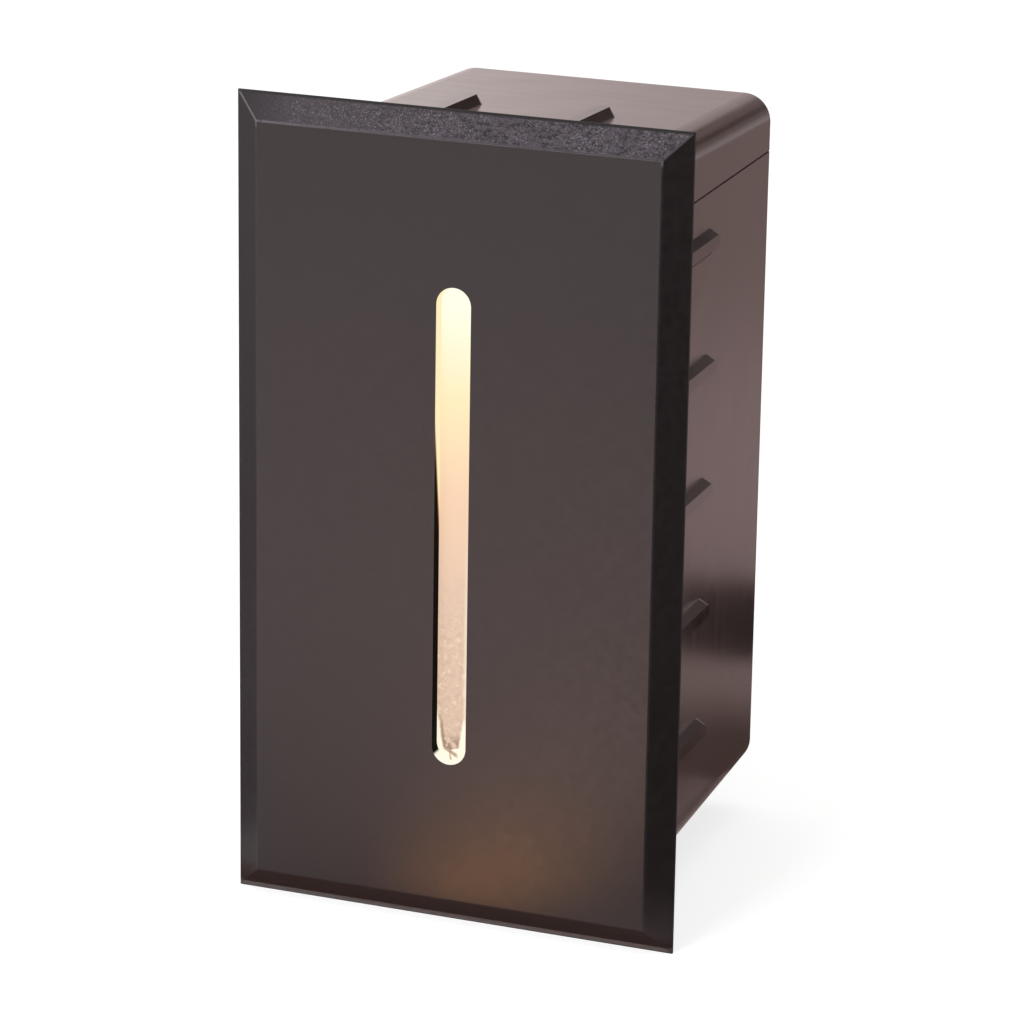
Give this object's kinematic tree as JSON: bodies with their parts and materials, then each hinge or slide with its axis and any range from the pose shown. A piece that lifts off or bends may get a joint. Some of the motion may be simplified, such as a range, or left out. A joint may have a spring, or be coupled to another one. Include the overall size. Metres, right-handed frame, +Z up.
{
  "type": "recessed step light",
  "caption": "Recessed step light: bevelled rectangular faceplate with a lit vertical slot, on a deep ribbed plastic housing.",
  "frame": {"origin": "centre of the plane on which the housing flange and the plate rim rest on the wall, mount wall_face", "axes": "+X across the plate to the right as seen from the room, +Y into the wall, +Z up"},
  "size_m": [0.07, 0.0655, 0.124],
  "materials": {
    "plate_coat": "fine textured powder coat, near-black warm grey, slightly satin",
    "seal_foam": "closed-cell foam, matt black",
    "window_frosted": "frosted polycarbonate, warm white when lit",
    "seal_silicone": "translucent grey silicone",
    "black_plastic": "fine-grained black moulded plastic",
    "spring_steel": "plain stainless spring strip",
    "screw_zinc": "bright zinc",
    "housing_plastic": "glossy dark taupe moulded plastic",
    "chassis_steel": "zinc-plated sheet",
    "white_plastic": "matt white reflector plastic",
    "circuit_white": "white solder mask on an aluminium board",
    "led_phosphor": "yellow phosphor, warm white when lit",
    "pad_grey": "soft grey heat pad",
    "sink_aluminium": "plain extruded aluminium",
    "grommet_rubber": "black rubber",
    "wire_white": "white silicone insulation",
    "wire_black": "black insulation",
    "driver_plastic": "off-white moulded plastic",
    "circuit_green": "green solder mask",
    "header_plastic": "natural nylon",
    "ferrite": "dark grey ferrite",
    "copper_wire": "enamelled copper",
    "capacitor_sleeve": "dark plain sleeve",
    "chip_epoxy": "black epoxy",
    "terminal_plastic": "grey moulded plastic",
    "contact_brass": "plain brass",
    "lever_orange": "orange moulded plastic",
    "gland_nylon": "black glass-filled nylon"
  },
  "bodies": {
    "housing_unit": {"housing": "housing_plastic", "chassis_plate": "chassis_steel", "chassis_screws": "screw_zinc", "light_chamber": "white_plastic", "chamber_screws": "screw_zinc", "led_board": "circuit_white", "led_packages": "led_phosphor", "led_board_screws": "screw_zinc", "thermal_pad": "pad_grey", "heat_sink": "sink_aluminium", "heat_sink_screws": "screw_zinc", "lead_grommet": "grommet_rubber", "led_leads": "wire_white", "driver_cover": "driver_plastic", "driver_case": "driver_plastic", "driver_board": "circuit_green", "driver_headers": "header_plastic", "driver_choke": "ferrite", "driver_choke_coil": "copper_wire", "driver_capacitors": "capacitor_sleeve", "driver_chips": "chip_epoxy", "driver_screws": "screw_zinc", "feed_leads": "wire_black", "terminal_block": "terminal_plastic", "terminal_contacts": "contact_brass", "terminal_block_screws": "screw_zinc", "lever_pivot_pin": "spring_steel", "gland_washer": "grommet_rubber", "gland_body": "gland_nylon", "gland_locknut": "gland_nylon", "gland_seal": "grommet_rubber"},
    "faceplate_unit": {"faceplate": "plate_coat", "rim_seal": "seal_foam", "slot_window": "window_frosted", "window_gasket": "seal_silicone", "window_frame": "black_plastic", "window_frame_screws": "screw_zinc", "spring_clips": "spring_steel", "clip_screws": "screw_zinc"},
    "lever_left": {"lever_left": "lever_orange"},
    "lever_right": {"lever_right": "lever_orange"},
    "gland_nut": {"gland_nut": "gland_nylon"}
  },
  "joints": [
    {"name": "faceplate_pull", "type": "slide", "parent": "housing_unit", "child": "faceplate_unit", "axis": [0, -1, 0], "range_m": [0, 0.022]},
    {"name": "lever_left_open", "type": "hinge", "parent": "housing_unit", "child": "lever_left", "pos_m": [-0.004, 0.05325, 0.00285], "axis": [-1, 0, 0], "range_deg": [0, 90]},
    {"name": "lever_right_open", "type": "hinge", "parent": "housing_unit", "child": "lever_right", "pos_m": [0.004, 0.05325, 0.00285], "axis": [-1, 0, 0], "range_deg": [0, 90]},
    {"name": "gland_nut_turn", "type": "hinge", "parent": "housing_unit", "child": "gland_nut", "pos_m": [0, 0.0574, -0.03405], "axis": [0, 1, 0], "range_deg": [0, 360]}
  ]
}
